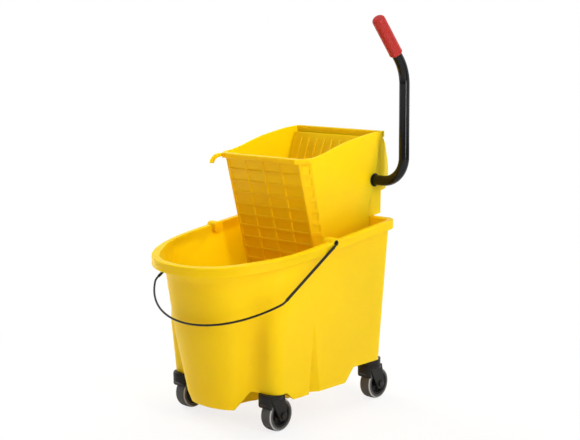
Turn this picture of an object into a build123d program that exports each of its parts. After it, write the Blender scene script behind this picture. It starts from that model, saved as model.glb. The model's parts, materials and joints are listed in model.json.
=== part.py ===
from build123d import *
import math
import os

os.makedirs("parts", exist_ok=True)

# A wheeled mop bucket with a side-press wringer that hooks over its rear rim, in millimetres.
# X runs across the tub, Y from the nose to the wringer at the rear, Z up from the floor.
# The pieces are laid out about the tub's centre line. The last step moves them all so that
# the origin is the middle of the floor rectangle that the whole object covers.

# Tub
rim_half_width = 202.5
rim_nose_y = -260.0
rim_rear_y = 268.0
rim_mid_z = 415.0
rim_slope = 0.12
rim_band = 21.0
rim_reach = 12.0
rim_top = 4.0
rim_round = 3.0
skirt_wall = 3.2
wall = 3.5
shoulder_y = 13.0
rim_power = 2.3
nose_steps = 8
nose_flat = 3.0
rear_corner = 13.0
side_lean = 0.07
rear_lean = 0.03
floor_z = 58.0
keel_z = 46.0
keel_y = -62.0
chamfer_height = 23.0
chamfer_depth = 8.0
tub_top_z = 480.0
flare_nose_y = -297.0
flare_power = 2.4

# Nose outlines at three heights: from the side round a shoulder into a valley, then round the nose
foot_outline = ((167.0, -80.0), (165.0, -108.0), (148.0, -120.0), (114.0, -123.0), (92.0, -133.0),
                (79.0, -154.0), (55.0, -173.0), (28.0, -180.0), (nose_flat, -182.0))
waist_z = 210.0
waist_outline = ((176.2, -80.0), (174.5, -114.0), (158.0, -129.0), (124.0, -132.5), (106.0, -146.0),
                 (95.0, -174.0), (62.0, -200.0), (31.0, -208.5), (nose_flat, -211.0))
neck_z = 345.0
neck_outline = ((185.6, -60.0), (176.0, -111.0), (163.0, -131.0), (148.0, -147.0), (135.0, -160.0),
                (115.0, -183.0), (70.0, -217.0), (35.0, -227.0), (nose_flat, -230.0))

# Wheel wells and the flutes in the side walls
well_radius = 36.0
well_slope = 0.81
well_shift = (25.0, 10.0)
rear_well_x = 62.0
rear_well_knee_y = 146.0
rear_well_z = 103.0
rear_well_lean = 0.85
well_reach = 200.0
ledge_x = 124.0
ledge_z = 70.0
flute_foot_z = 40.0
flute_head_z = 242.0
flute_foot = (-13.0, 30.0, 26.0)
flute_head = (-6.0, -1.0, 0.5)
flute_crease = 3.0
flute_reach = 30.0

# Casters
swivel_x = 140.0
front_swivel_y = -107.0
rear_swivel_y = 240.0
caster_pad_z = 90.0
socket_radius = 11.0
socket_height = 36.0
stem_radius = 5.5
stem_length = 32.0
stem_flange_radius = 27.0
stem_head_radius = 11.0
stem_head = 3.0
spigot_radius = 8.0
fork_top_z = 87.0
fork_plate = 7.0
fork_plate_radius = 28.0
swivel_gap = 0.3
running_gap = 0.05
trail = 18.0
wheel_radius = 38.0
wheel_width = 30.0
hub_radius = 28.5
tyre_shoulder = 5.0
hub_ring = 24.0
hub_set_in = 2.0
hub_web = 8.0
hub_boss = 10.0
hub_half = 16.0
hub_holes = 5
hub_hole_radius = 4.5
axle_radius = 5.0
axle_head_radius = 8.0
axle_head = 4.0
cheek_inner = 17.0
cheek = 4.0
cheek_eye = 13.0
cheek_set_back = 2.0
hood_gap = 2.0
hood_front = -28.0
hood_low_z = 64.0
hood_taper = 6.0
hood_angle = 152.0

# Bail
bail_y = 45.0
bail_z = 416.5
bail_droop = 31.3
bail_arm_x = 206.5
bail_arm = 194.9
bail_corner = 28.5
bail_turn = 35.2
bail_foot = 6.0
bail_tip_x = 190.5
wire_radius = 2.5
sleeve_radius = 3.5
sleeve_start = 14.0
lug_length = 24.0
lug_inner_x = 174.0
lug_top_z = 427.0
lug_low_z = 400.0
lug_round = 9.0
bush_radius = 5.0
bush_flange = 6.5
bush_flange_thick = 1.1
bush_mouth = 4.4

# Wringer housing
basket_half = 136.0
basket_half_z = 600.0
basket_side_lean = 0.0233
basket_z = 300.0
front_low_y = 90.0
front_lean = 0.259
front_top_z = 604.0
front_half = 116.0
corner_cut = (20.0, 24.0)
front_wall = 6.5
housing_wall = 3.2
back_low_y = 224.0
back_high_y = 250.0
rear_wall_y = 290.0
rear_top_z = 648.0
shelf_gap = 0.5
top_edge = ((-60.0, 600.0), (8.0, 602.5), (36.0, 603.5), (95.0, 615.0), (157.0, 631.0),
            (200.0, 638.5), (257.0, 646.0), (300.0, 648.0), (360.0, 649.0))
open_top_z = 720.0
hump_half = 133.0
hump_shoulder_y = 306.0
hump_slope = 0.5
hump_outline = ((270.0, 634.0), (298.0, 632.0), (334.0, 573.0), (341.0, 547.0), (337.0, 526.0),
                (322.0, 511.0), (270.0, 500.0))
hump_round = 7.0
hump_depth = 60.0
flange_height = 15.0
flange_reach = 8.0
seam_lean = 14.5
seam_low_z = 445.0
rim_hook_y = 270.0
rim_hook_thick = 3.5
rim_hook_half = 112.0
rim_hook_low_z = 424.0
screw_heights = (462.0, 490.0)
screw_radius = 2.2
screw_head_radius = 4.5
screw_head = 3.0
post_radius = 7.0
boss_length = 9.0
lip_reach = 9.0
lip_side = 2.5
lip_height = 13.0
cell_pitch_x = 56.5
cell_pitch_z = 28.5
cell_columns = 4
cell_rows = 10
cell_rib = 6.0
cell_depth = 3.2
strip_cell = (15.0, 18.0)
strip_depth = 2.2
slot_rows = 1
slot_length = 34.0
slot_width = 8.0
floor_slot_rows = 4
floor_slot_pitch = 30.0
hook_path = ((22.0, 597.0), (4.0, 597.8), (-12.0, 595.5), (-22.0, 589.0), (-26.0, 580.0))
hook_thick = 8.0
hook_width = 8.0
hook_x = -118.0
bumper_x = 60.0
bumper_width = 7.0
bumper_y = 248.5
bumper_low_z = 330.0
bumper_high_z = 430.0

# Press plate and its hinge
hinge_y = 156.0
hinge_z = 318.0
plate_lean = 21.5
plate_front = 8.0
plate_back = 4.0
plate_low_half = 121.0
plate_high_half = 127.5
plate_length = 336.0
plate_turn = 20.5
barrel_radius = 8.0
rod_radius = 4.0
rib_count = 9
rib_pitch = 25.0
rib_width = 4.0
rib_proud = 3.0
rib_foot = 16.0
rib_head = 14.0
stiffeners = (60.0, 120.0, 180.0)
stiffener_depth = 6.0
fin_x = 73.0
fin_width = 12.0
fin_clearance = 254.5
fin_low = 246.0
fin_high = 307.0
fin_rise = 42.5
track_turns = (40, 55, 70, 85, 104)
rod_half = 133.0
cap_gap = 0.4
cap_radius = 7.5
cap_length = 5.5

# Lever, cranks and return spring
shaft_y = 264.0
shaft_z = 533.0
lever_turn = 100.0
tube_radius = 12.2
tube_wall = 2.0
lever_x = 223.0
elbow_radius = 60.0
knee_z = 796.0
knee_angle = 40.0
knee_radius = 95.0
handle_length = 147.0
grip_start = 51.0
grip_end = 157.0
grip_radius = 16.0
grip_round = 9.0
shaft_far_x = -146.0
crank_radius = 66.0
crank_rest = -50.0
crank_x = 85.0
crank_thick = 8.0
crank_hub = 19.0
crank_tip = 11.0
roller_radius = 10.0
roller_width = 13.0
roller_gap = 0.4
roller_pin_radius = 4.0
pin_head_radius = 6.5
pin_head = 2.5
pin_play = 1.0
cross_pin_radius = 2.5
shaft_bush_radius = 14.4
shaft_bush_flange = 16.0
bush_inner_x = 130.8
bush_outer_x = 135.2
bush_flange_width = 1.3
end_cap_radius = 15.0
end_cap_thick = 3.0
end_cap_length = 10.5
spring_radius = 17.0
spring_wire = 1.5
spring_turns = 6
spring_pitch = 4.6
spring_start_x = -44.0
spring_leg = 46.0
spring_bend = 4.5
spring_stub = 8.0
collar_x = -8.0
collar_radius = 22.0
collar_width = 12.0

# Footprint of the whole object, for the origin
low_x = -(bail_arm_x + sleeve_radius)
high_x = lever_x + grip_radius
low_y = rim_nose_y
high_y = max(point[0] for point in hump_outline)
middle = Location((-(low_x + high_x) / 2, -(low_y + high_y) / 2, 0))

on_floor = (Align.CENTER, Align.CENTER, Align.MIN)
under = (Align.CENTER, Align.CENTER, Align.MAX)
sides = {"right": 1, "left": -1}
casters = {
    "front_right": (swivel_x, front_swivel_y),
    "front_left": (-swivel_x, front_swivel_y),
    "rear_right": (swivel_x, rear_swivel_y),
    "rear_left": (-swivel_x, rear_swivel_y),
}


def write(piece, name):
    """Moves a finished piece to the object's origin, labels it and writes its file."""
    placed = piece.moved(middle)
    placed.label = name
    export_step(placed, f"parts/{name}.step")


def across(y, z, x=0.0):
    """Plane whose normal runs across the object, for pins and shafts."""
    return Plane(origin=(x, y, z), x_dir=(0, 1, 0), z_dir=(1, 0, 0))


# Tub forms

def rim_z(y):
    """Height of the sloping rim."""
    return rim_mid_z + rim_slope * y


def seat_z(y):
    """Height of the flat seat over a caster, higher in the rear wells."""
    return rear_well_z if y > shoulder_y else caster_pad_z


def rim_plane(rise):
    """Plane of the sloping rim, lifted by a rise."""
    return Plane(origin=(0, 0, rim_mid_z + rise), x_dir=(1, 0, 0), z_dir=(0, -rim_slope, 1))


def oval_points(half, nose, power):
    """Right half of a superellipse, from the shoulder to a short flat at the nose."""
    points = []
    for step in range(nose_steps + 1):
        angle = math.pi / 2 * step / nose_steps
        share = abs(math.cos(angle)) ** (2 / power)
        forward = math.sin(angle) ** (2 / power)
        sideways = nose_flat + (half - nose_flat) * share
        points.append(Vector(sideways, shoulder_y - (shoulder_y - nose) * forward))
    return points


def lobed_points(outline, pull):
    """Right half of a nose outline, shrunk towards the rear by a pull."""
    half = outline[0][0]
    return [Vector(max(nose_flat, x * (1 - pull / half)), y + pull) for x, y in outline]


def drawn_in(points, pull):
    """Half outline moved inwards by a distance, square to itself."""
    moved = []
    for index, point in enumerate(points):
        if index == 0:
            run = Vector(0, -1)
        elif index == len(points) - 1:
            run = Vector(-1, 0)
        else:
            run = (points[index + 1] - points[index - 1]).normalized()
        moved.append(point + Vector(run.Y, -run.X) * pull)
    return moved


def plan(z, front, rear, corner):
    """Plan of the tub at one height: two mirrored front outlines, straight sides and round rear corners."""
    half = front[0].X
    mirrored = [Vector(-point.X, point.Y) for point in front]
    with BuildSketch(Plane.XY.offset(z)) as section:
        with BuildLine():
            Line(front[0], (half, rear - corner))
            CenterArc((half - corner, rear - corner), corner, 0, 90)
            Line((half - corner, rear), (corner - half, rear))
            CenterArc((corner - half, rear - corner), corner, 90, 90)
            Line((-half, rear - corner), mirrored[0])
            Spline(mirrored, tangents=((0, -1), (1, 0)), tangent_scalars=(1, 1))
            Line(mirrored[-1], front[-1])
            Spline(front, tangents=((0, -1), (-1, 0)), tangent_scalars=(1, 1))
        make_face()
    return section.sketch


def side_x(z):
    """Half width of the outer wall at a height."""
    return rim_half_width - rim_reach - side_lean * (rim_mid_z - z)


def wall_plan(z, front, pull):
    """Plan of the tapering wall at a height, with its rear pulled in from the outer face."""
    rear = rim_rear_y - rim_reach - rear_lean * (rim_z(rim_rear_y) - z)
    return plan(z, front, rear - pull, rear_corner - pull / 2)


def flute_plan(side, z, edges, inset):
    """Wedge that a side flute takes out of the wall at one height: a steep crease and a long flank."""
    crease_y, flank_y, depth = edges
    crease_y -= 1.4 * inset
    flank_y += 1.4 * inset
    depth += 1.4 * inset
    with BuildSketch(Plane.XY.offset(z)) as section:
        with BuildLine():
            Polyline(
                (side * (side_x(z) + flute_reach), crease_y),
                (side * (side_x(z) - depth), crease_y + flute_crease),
                (side * side_x(z), flank_y),
                (side * (side_x(z) + flute_reach), flank_y),
                close=True,
            )
        make_face()
    return section.sketch


def well_plan(side, z, radius):
    """Plan of a front wheel well at one height: a slot drawn from over the swivel towards the keel."""
    ahead = Vector(-side * well_shift[0], well_shift[1])
    middle_of_slot = Vector(side * swivel_x, front_swivel_y) + ahead / 2
    turn = math.degrees(math.atan2(ahead.Y, ahead.X))
    with BuildSketch(Plane.XY.offset(z)) as section:
        with Locations(Location((middle_of_slot.X, middle_of_slot.Y), turn)):
            SlotCenterToCenter(ahead.length, 2 * radius)
    return section.sketch


def tub_form(inset):
    """The tub's outer form, or with the wall as inset the space inside it."""
    slack = inset * math.tan(math.radians(22.5))
    tilt = math.atan2(chamfer_depth, chamfer_height)
    sole_pull = chamfer_depth + inset * (1 / math.cos(tilt) - math.tan(tilt))
    foot_z = keel_z + chamfer_height + inset * math.tan(tilt / 2)
    sole = lobed_points(foot_outline, sole_pull)
    foot = drawn_in(lobed_points(foot_outline, 0), inset)
    waist = drawn_in(lobed_points(waist_outline, 0), inset)
    neck = drawn_in(lobed_points(neck_outline, 0), inset)
    flare = drawn_in(oval_points(side_x(tub_top_z), flare_nose_y, flare_power), inset)
    with BuildPart() as form:
        loft(
            [
                wall_plan(keel_z + inset, sole, sole_pull),
                wall_plan(foot_z, foot, inset),
                wall_plan(waist_z, waist, inset),
                wall_plan(neck_z, neck, inset),
                wall_plan(tub_top_z, flare, inset),
            ],
            ruled=True,
        )
        with BuildSketch(Plane.YZ):
            with BuildLine():
                Polyline(
                    (keel_y - keel_z - math.sqrt(2) * inset, 0),
                    (keel_y + floor_z - keel_z - slack, floor_z + inset),
                    (keel_y + 3 * well_reach, floor_z + inset),
                    (keel_y + 3 * well_reach, 0),
                    close=True,
                )
            make_face()
        extrude(amount=well_reach, both=True, mode=Mode.SUBTRACT)
        well_foot = well_radius + well_slope * caster_pad_z + inset * math.hypot(1, well_slope)
        for side in sides.values():
            loft(
                [
                    well_plan(side, 0, well_foot),
                    well_plan(side, caster_pad_z + inset, well_foot - well_slope * (caster_pad_z + inset)),
                ],
                ruled=True,
                mode=Mode.SUBTRACT,
            )
            loft(
                [
                    flute_plan(side, flute_foot_z, flute_foot, inset),
                    flute_plan(side, flute_head_z + inset, flute_head, inset),
                ],
                ruled=True,
                mode=Mode.SUBTRACT,
            )
            with Locations((side * (ledge_x - inset), 0, ledge_z + inset)):
                outwards = Align.MIN if side > 0 else Align.MAX
                Box(
                    2 * well_reach,
                    4 * well_reach,
                    well_reach,
                    align=(outwards, Align.CENTER, Align.MAX),
                    mode=Mode.SUBTRACT,
                )
            knee_y = rear_well_knee_y - slack
            knee_z = rear_well_z + inset
            with BuildSketch(Plane.YZ.offset(side * (rear_well_x - inset))):
                with BuildLine():
                    Polyline(
                        (knee_y - rear_well_lean * knee_z, 0),
                        (knee_y, knee_z),
                        (knee_y + well_reach, knee_z),
                        (knee_y + well_reach, 0),
                        close=True,
                    )
                make_face()
            extrude(amount=side * well_reach, mode=Mode.SUBTRACT)
    return form.part


def rim_slab(pull, low, high, edge_round):
    """Slab of the rim's plan between two planes that follow the rim's slope."""
    with BuildPart() as slab:
        front = oval_points(rim_half_width - pull, rim_nose_y + pull, rim_power)
        low_z = rim_z(rim_nose_y) - 2 * rim_band
        section = plan(low_z, front, rim_rear_y - pull, rear_corner + rim_reach - pull)
        extrude(section, amount=tub_top_z - low_z)
        split(bisect_by=rim_plane(high), keep=Keep.BOTTOM)
        split(bisect_by=rim_plane(low), keep=Keep.TOP)
        if edge_round:
            top = slab.faces().filter_by(lambda face: face.normal_at().Z > 0.9)
            fillet(top.edges(), edge_round)
    return slab.part


with BuildPart() as rim:
    add(rim_slab(0, -rim_band, 0, rim_round))
    add(rim_slab(skirt_wall, -2 * rim_band, -rim_top, 0), mode=Mode.SUBTRACT)

# Bucket tub
with BuildPart() as bucket_tub:
    add(tub_form(0))
    split(bisect_by=rim_plane(-rim_top / 2), keep=Keep.BOTTOM)
    add(rim.part)
    add(tub_form(wall), mode=Mode.SUBTRACT)
    for side in sides.values():
        with BuildSketch(Plane.YZ.offset(side * lug_inner_x)) as lug:
            with Locations((bail_y, (lug_top_z + lug_low_z) / 2)):
                Rectangle(lug_length, lug_top_z - lug_low_z)
            fillet(lug.vertices().group_by(Axis.Z)[-1], lug_round)
        extrude(amount=side * (rim_half_width - lug_inner_x))
    with Locations([(x, y, seat_z(y)) for x, y in casters.values()]):
        Cylinder(socket_radius, socket_height, align=on_floor)
        Cylinder(stem_radius, stem_length, align=on_floor, mode=Mode.SUBTRACT)
    for side in sides.values():
        with Locations(across(bail_y, bail_z, side * rim_half_width)):
            Cylinder(bush_radius, 2 * (rim_half_width - bail_tip_x) + 8, mode=Mode.SUBTRACT)
write(bucket_tub.part, "bucket_tub")


# Caster pieces, laid out about the swivel axis with the wheel trailing towards the rear

def stem_form(seat):
    """Swivel stem with its flange filling the space from the fork up to a seat in the tub."""
    with BuildPart() as form:
        with Locations((0, 0, seat)):
            Cylinder(stem_radius, stem_length - 1, align=on_floor)
        with Locations((0, 0, fork_top_z + swivel_gap)):
            Cylinder(stem_flange_radius, seat - fork_top_z - swivel_gap, align=on_floor)
        with Locations((0, 0, fork_top_z - fork_plate - swivel_gap)):
            Cylinder(spigot_radius, fork_plate + 2 * swivel_gap, align=on_floor)
            Cylinder(stem_head_radius, stem_head, align=under)
    return form.part


with BuildPart() as fork_hood:
    with BuildSketch(Plane.YZ.offset(-cheek_inner - cheek / 2)):
        with BuildLine():
            hood_inner = CenterArc((trail, wheel_radius), wheel_radius + hood_gap, 90, hood_angle - 90)
            Polyline(
                hood_inner @ 0,
                (trail, fork_top_z - fork_plate / 2),
                (hood_front, fork_top_z - fork_plate / 2),
                (hood_front, hood_low_z + hood_taper),
                (hood_front + hood_taper, hood_low_z),
                hood_inner @ 1,
            )
        make_face()
    extrude(amount=2 * cheek_inner + cheek)
    Cylinder(fork_plate_radius, 3 * fork_top_z, mode=Mode.INTERSECT)

with BuildPart() as caster_fork:
    with Locations((0, 0, fork_top_z - fork_plate)):
        Cylinder(fork_plate_radius, fork_plate, align=on_floor)
    for side in sides.values():
        with BuildSketch(Plane.YZ.offset(side * cheek_inner)):
            with Locations((trail, wheel_radius)):
                Circle(cheek_eye)
            with Locations((cheek_set_back, fork_top_z - fork_plate / 2)):
                Rectangle(2 * (cheek_inner + cheek), fork_plate)
            make_hull()
        extrude(amount=side * cheek)
    add(fork_hood.part)
    with Locations((0, 0, fork_top_z - fork_plate)):
        Cylinder(stem_head_radius + 1, stem_head + 1, align=under, mode=Mode.SUBTRACT)
    Cylinder(spigot_radius + running_gap, 3 * fork_top_z, mode=Mode.SUBTRACT)
    with Locations(across(trail, wheel_radius)):
        Cylinder(axle_radius, 4 * cheek_inner, mode=Mode.SUBTRACT)

with BuildPart() as caster_axle:
    with Locations(across(trail, wheel_radius)):
        Cylinder(axle_radius, 2 * (cheek_inner + cheek))
    for side in sides.values():
        with BuildSketch(across(trail, wheel_radius, side * (cheek_inner + cheek))):
            RegularPolygon(axle_head_radius, 6)
        extrude(amount=side * axle_head)

wheel_plane = Plane(origin=(0, trail, wheel_radius), x_dir=(1, 0, 0), z_dir=(0, 0, 1))
wheel_axis = Axis((0, trail, wheel_radius), (1, 0, 0))

with BuildPart() as wheel_tyre:
    with BuildSketch(wheel_plane) as tread:
        with Locations((0, (wheel_radius + hub_radius) / 2)):
            Rectangle(wheel_width, wheel_radius - hub_radius)
        fillet(tread.vertices().group_by(Axis.Y)[-1], tyre_shoulder)
    revolve(axis=wheel_axis)

with BuildPart() as wheel_hub:
    with BuildSketch(wheel_plane):
        with Locations((0, (hub_radius + hub_ring) / 2)):
            Rectangle(wheel_width - 2 * hub_set_in, hub_radius - hub_ring)
        with Locations((0, (hub_ring + hub_boss) / 2)):
            Rectangle(hub_web, hub_ring - hub_boss + 1)
        with Locations((0, hub_boss / 2)):
            Rectangle(2 * hub_half, hub_boss)
        with Locations((0, 0)):
            Rectangle(2 * hub_half, 2 * (axle_radius + running_gap), mode=Mode.SUBTRACT)
    revolve(axis=wheel_axis)
    with Locations(across(trail, wheel_radius)):
        with PolarLocations((hub_boss + hub_ring) / 2, hub_holes):
            Cylinder(hub_hole_radius, 2 * hub_web, mode=Mode.SUBTRACT)

for place, (x, y) in casters.items():
    spot = Location((x, y, 0))
    write(stem_form(seat_z(y)).moved(spot), f"caster_stem_{place}")
    write(caster_fork.part.moved(spot), f"caster_fork_{place}")
    write(caster_axle.part.moved(spot), f"caster_axle_{place}")
    write(wheel_hub.part.moved(spot), f"wheel_hub_{place}")
    write(wheel_tyre.part.moved(spot), f"wheel_tyre_{place}")


# Bail, hanging forward and down from its two lugs

droop = math.radians(bail_droop)
bail_plane = Plane(
    origin=(0, bail_y, bail_z),
    x_dir=(1, 0, 0),
    z_dir=(0, math.sin(droop), -math.cos(droop)),
)
bail_bend = math.radians(bail_turn)
bail_bow = (bail_arm_x - bail_corner * (1 - math.cos(bail_bend))) / math.cos(bail_bend)

with BuildPart() as bail_wire:
    with BuildLine(bail_plane):
        foot = Line((bail_tip_x, 0), (bail_arm_x - bail_foot, 0))
        first_elbow = JernArc(foot @ 1, (1, 0), bail_foot, 90)
        first_arm = Line((bail_arm_x, bail_foot), (bail_arm_x, bail_foot + bail_arm))
        first_corner = JernArc((bail_arm_x, bail_foot + bail_arm), (0, 1), bail_corner, bail_turn)
        corner_x = bail_arm_x - bail_corner * (1 - math.cos(bail_bend))
        corner_y = bail_foot + bail_arm + bail_corner * math.sin(bail_bend)
        bow_tangent = (-math.sin(bail_bend), math.cos(bail_bend))
        bow = JernArc((corner_x, corner_y), bow_tangent, bail_bow, 180 - 2 * bail_turn)
        end_tangent = (-math.sin(bail_bend), -math.cos(bail_bend))
        last_corner = JernArc((-corner_x, corner_y), end_tangent, bail_corner, bail_turn)
        last_arm = Line((-bail_arm_x, bail_foot + bail_arm), (-bail_arm_x, bail_foot))
        last_elbow = JernArc((-bail_arm_x, bail_foot), (0, -1), bail_foot, 90)
        Line((bail_foot - bail_arm_x, 0), (-bail_tip_x, 0))
    with BuildSketch(across(bail_y, bail_z, bail_tip_x)):
        Circle(wire_radius)
    sweep()
write(bail_wire.part, "bail_wire")

for name, side in sides.items():
    arm_plane = Plane(
        origin=bail_plane.from_local_coords((side * bail_arm_x, sleeve_start, 0)),
        z_dir=bail_plane.y_dir,
    )
    with BuildPart() as bail_sleeve:
        with BuildSketch(arm_plane):
            Circle(sleeve_radius)
            Circle(wire_radius, mode=Mode.SUBTRACT)
        extrude(amount=bail_arm + bail_foot - sleeve_start - 2)
    write(bail_sleeve.part, f"bail_sleeve_{name}")

    with BuildPart() as bail_bush:
        with BuildSketch(across(bail_y, bail_z, side * (bail_tip_x - 2))):
            Circle(bush_radius)
        extrude(amount=side * (rim_half_width - bail_tip_x + 2))
        with BuildSketch(across(bail_y, bail_z, side * rim_half_width)):
            Circle(bush_flange)
        extrude(amount=side * bush_flange_thick)
        with Locations(across(bail_y, bail_z, side * rim_half_width)):
            Cylinder(wire_radius + running_gap, 6 * bush_radius, mode=Mode.SUBTRACT)
            Cylinder(bush_mouth, 2 * bail_foot - 6, mode=Mode.SUBTRACT)
    write(bail_bush.part, f"bail_bush_{name}")


# Wringer housing

def front_y(z):
    """Front face of the wringer, which leans forward as it rises."""
    return front_low_y - front_lean * (z - basket_z)


front_rise = Vector(0, -front_lean, 1)


def front_corner(z, inset):
    """Point in plan where the front face meets its slanted right corner, drawn in by an inset."""
    square = Vector(corner_cut[1], -corner_cut[0]).normalized()
    return Vector(front_half, front_y(z)) - square * inset


def shelf_z(y):
    """Underside of the wringer where it rests on the rear rim."""
    return rim_z(y) + shelf_gap


def seam_y(z):
    """Seam between basket and rear cover, through the lever shaft."""
    return shaft_y + math.tan(math.radians(seam_lean)) * (z - shaft_z)


def back_y(z):
    """Back of the wringer below its shelf, which leans back as it rises."""
    rise = (z - basket_z) / (shelf_z(back_high_y) - basket_z)
    return back_low_y + (back_high_y - back_low_y) * rise


def basket_side(z):
    """Half width of the wringer at a height."""
    return basket_half - basket_side_lean * (basket_half_z - z)


def prism(points, half):
    """Solid with a side outline of straight lines, centred across the object."""
    with BuildPart() as solid:
        with BuildSketch(Plane.YZ):
            with BuildLine():
                Polyline(*points, close=True)
            make_face()
        extrude(amount=half, both=True)
    return solid.part


def housing_form(inset, front_inset):
    """The wringer's outer form, or with the walls as insets the space inside it."""
    low = basket_z + inset
    with BuildPart() as form:
        add(
            prism(
                [
                    (front_y(open_top_z) + front_inset, open_top_z),
                    (front_y(low) + front_inset, low),
                    (back_low_y - inset, low),
                    (back_high_y - inset, shelf_z(back_high_y) + inset),
                    (rear_wall_y - inset, shelf_z(rear_wall_y) + inset),
                    (rear_wall_y - inset, open_top_z),
                ],
                2 * basket_half,
            )
        )
        low_half = basket_side(low) - inset
        high_half = basket_side(open_top_z) - inset
        with BuildSketch(Plane.XZ):
            with BuildLine():
                Polyline(
                    (low_half, low),
                    (high_half, open_top_z),
                    (-high_half, open_top_z),
                    (-low_half, low),
                    close=True,
                )
            make_face()
        extrude(amount=2 * rear_wall_y, both=True, mode=Mode.INTERSECT)
        for side in sides.values():
            corner = front_corner(low, (inset + front_inset) / 2)
            with BuildSketch(Plane.XY.offset(low)):
                with BuildLine():
                    Polyline(
                        (side * (corner.X - corner_cut[0]), corner.Y - corner_cut[1]),
                        (side * (corner.X + 3 * corner_cut[0]), corner.Y + 3 * corner_cut[1]),
                        (side * (corner.X + 3 * corner_cut[0]), corner.Y - corner_cut[1]),
                        close=True,
                    )
                make_face()
            extrude(amount=open_top_z, dir=front_rise, mode=Mode.SUBTRACT)
    return form.part


def hump_form(inset):
    """Bulge of the rear cover around the cranks, or with a wall as inset the space inside it."""
    with BuildPart() as form:
        with BuildSketch(Plane.YZ):
            with BuildLine():
                Polyline(*hump_outline, close=True)
            make_face()
            if inset:
                offset(amount=-inset, kind=Kind.INTERSECTION, mode=Mode.REPLACE)
        extrude(amount=2 * hump_half, both=True)
        near_y = hump_outline[0][0]
        far_y = rear_wall_y + hump_depth
        near_half = hump_half - inset
        far_half = near_half - hump_slope * (far_y - hump_shoulder_y)
        with BuildSketch(Plane.XY):
            with BuildLine():
                Polyline(
                    (near_half, near_y),
                    (near_half, hump_shoulder_y),
                    (far_half, far_y),
                    (-far_half, far_y),
                    (-near_half, hump_shoulder_y),
                    (-near_half, near_y),
                    close=True,
                )
            make_face()
        extrude(amount=open_top_z, mode=Mode.INTERSECT)
        if not inset:
            bends = form.edges().filter_by(Axis.X).filter_by(lambda edge: edge.center().Y > rear_wall_y)
            fillet(bends, hump_round)
    return form.part


with BuildPart() as above_top:
    with BuildSketch(Plane.YZ):
        with BuildLine():
            crest = Spline(top_edge)
            Polyline(
                crest @ 1,
                (top_edge[-1][0], 2 * open_top_z),
                (top_edge[0][0], 2 * open_top_z),
                crest @ 0,
            )
        make_face()
    extrude(amount=2 * basket_half, both=True)

cover_region = prism(
    [
        (seam_y(seam_low_z), seam_low_z),
        (seam_y(open_top_z), open_top_z),
        (2 * rear_wall_y, open_top_z),
        (2 * rear_wall_y, seam_low_z),
    ],
    2 * basket_half,
)

screw_inset = housing_wall + post_radius - 2
screw_spots = [(side * (basket_side(z) - screw_inset), z) for side in sides.values() for z in screw_heights]

# Open shell of the wringer, before it is parted along the seam
with BuildPart() as shell:
    add(housing_form(0, 0))
    add(hump_form(0))
    lip_y = front_y(front_top_z) - lip_reach
    lip_half = front_half + corner_cut[0] + lip_side
    with BuildSketch(Plane.XY.offset(front_top_z - lip_height)):
        with BuildLine():
            Polyline(
                (front_half, lip_y),
                (lip_half, lip_y + corner_cut[1] + lip_side),
                (lip_half, lip_y + lip_reach + corner_cut[1] + 8),
                (-lip_half, lip_y + lip_reach + corner_cut[1] + 8),
                (-lip_half, lip_y + corner_cut[1] + lip_side),
                (-front_half, lip_y),
                close=True,
            )
        make_face()
    extrude(amount=open_top_z - front_top_z + lip_height)
    flange_profile = [
        (rear_wall_y - 1, rear_top_z - flange_height),
        (rear_wall_y + flange_reach, rear_top_z - flange_height),
        (rear_wall_y + flange_reach, open_top_z),
        (rear_wall_y - 1, open_top_z),
    ]
    add(prism(flange_profile, basket_side(rear_top_z)))
    add(housing_form(housing_wall, front_wall), mode=Mode.SUBTRACT)
    add(hump_form(housing_wall), mode=Mode.SUBTRACT)
    add(above_top.part, mode=Mode.SUBTRACT)
    for x, z in screw_spots:
        with Locations(Plane(origin=(x, rear_wall_y, z), z_dir=(0, -1, 0))):
            post_length = rear_wall_y - seam_y(z) + boss_length
            Cylinder(post_radius, post_length, align=on_floor)
            Cylinder(screw_radius, post_length - 2, align=on_floor, mode=Mode.SUBTRACT)

front_middle_z = (basket_z + front_top_z) / 2
front_face = Plane(
    origin=(0, front_y(front_middle_z), front_middle_z),
    x_dir=(1, 0, 0),
    z_dir=(0, -1, -front_lean),
)

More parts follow.
